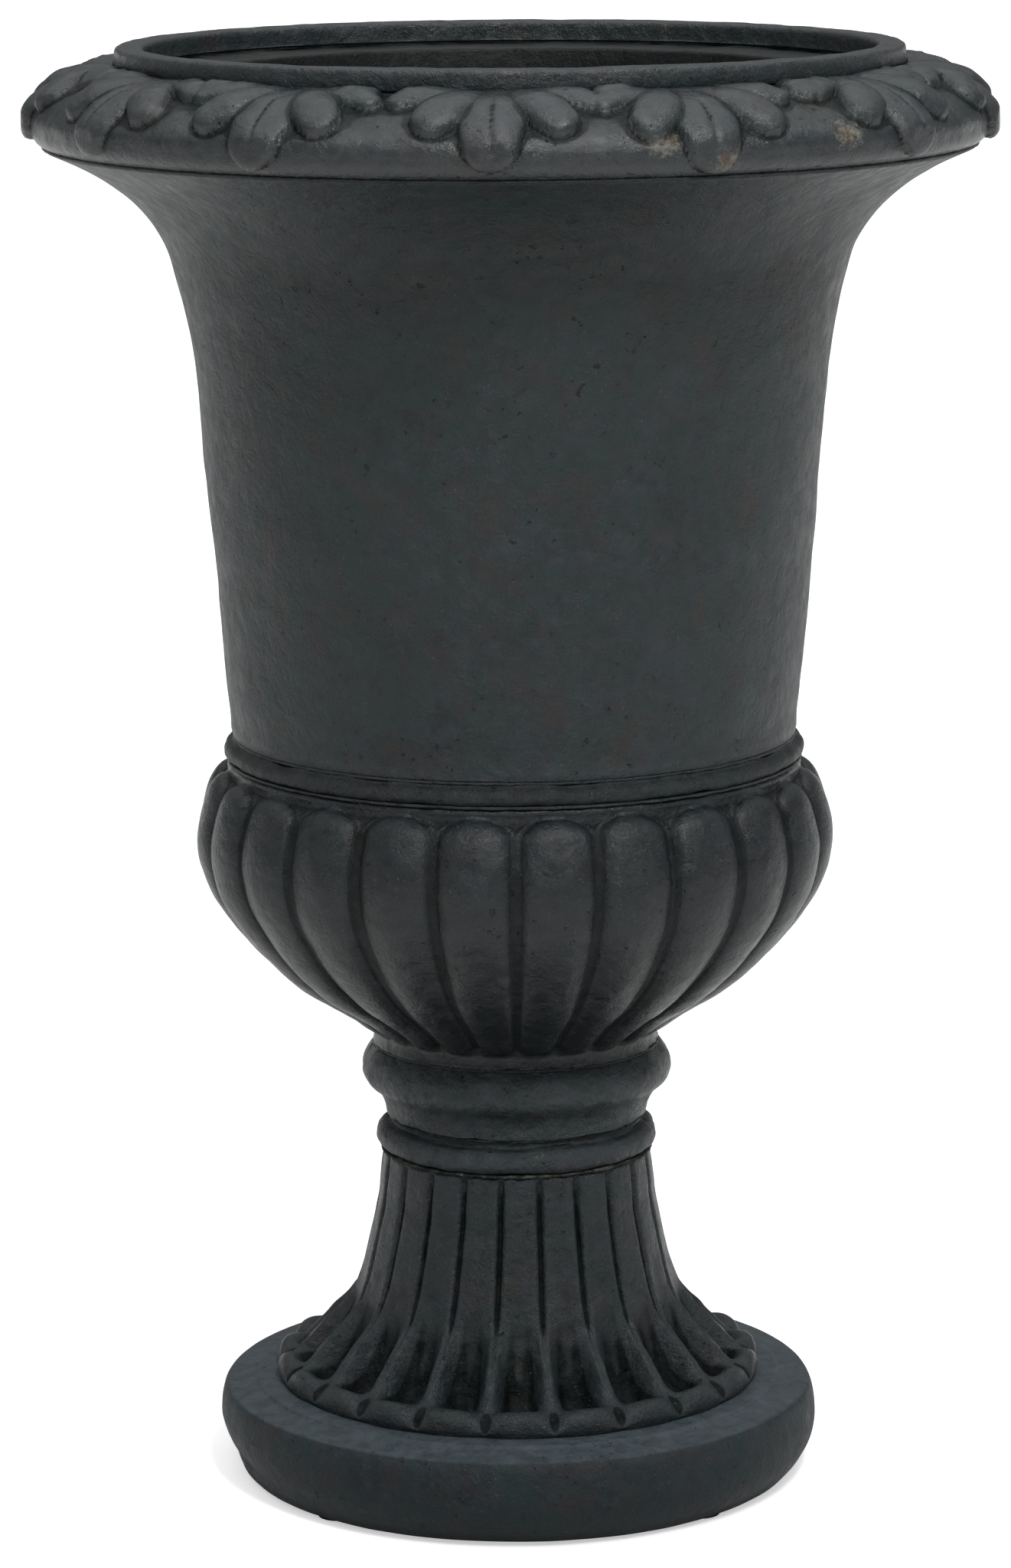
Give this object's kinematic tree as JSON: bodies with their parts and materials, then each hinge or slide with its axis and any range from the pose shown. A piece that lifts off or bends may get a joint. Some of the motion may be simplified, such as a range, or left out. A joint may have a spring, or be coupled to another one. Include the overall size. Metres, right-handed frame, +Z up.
{
  "type": "urn planter",
  "caption": "Tall campana urn planter in dark cast stone, with a leaf carved rolled rim, a plain bell, a gadrooned bowl and a fluted stem on a round plinth.",
  "frame": {"origin": "on the floor under the urn's axis, at the height of the undersides of the foot pads", "axes": "+Z up along the axis, -Y to the front, where a palmette of the rim is centred, +X to the right seen from the front"},
  "size_m": [0.4712, 0.4697, 0.711],
  "materials": {
    "cast_stone": "satin",
    "mortar": "matte",
    "zinc_steel": "satin",
    "rubber": "matte",
    "drain_plastic": "matte"
  },
  "bodies": {
    "root": {"rim_collar": "cast_stone", "leaf_rim": "cast_stone", "bell_body": "cast_stone", "waist_bead": "cast_stone", "gadrooned_bowl": "cast_stone", "neck_knop": "cast_stone", "neck_ring": "cast_stone", "fluted_stem": "cast_stone", "plinth": "cast_stone", "collar_bed": "mortar", "rim_bed": "mortar", "bell_bed": "mortar", "bead_bed": "mortar", "bowl_bed": "mortar", "knop_bed": "mortar", "ring_bed": "mortar", "stem_bed": "mortar", "tie_rod": "zinc_steel", "tie_nut_upper": "zinc_steel", "tie_washer_upper": "zinc_steel", "spreader_bar": "zinc_steel", "tie_washer_lower": "zinc_steel", "tie_nut_lower": "zinc_steel", "sealing_washer": "rubber", "foot_pad_1": "rubber", "foot_pad_2": "rubber", "foot_pad_3": "rubber", "foot_pad_4": "rubber", "drain_sleeve": "drain_plastic"}
  },
  "joints": []
}
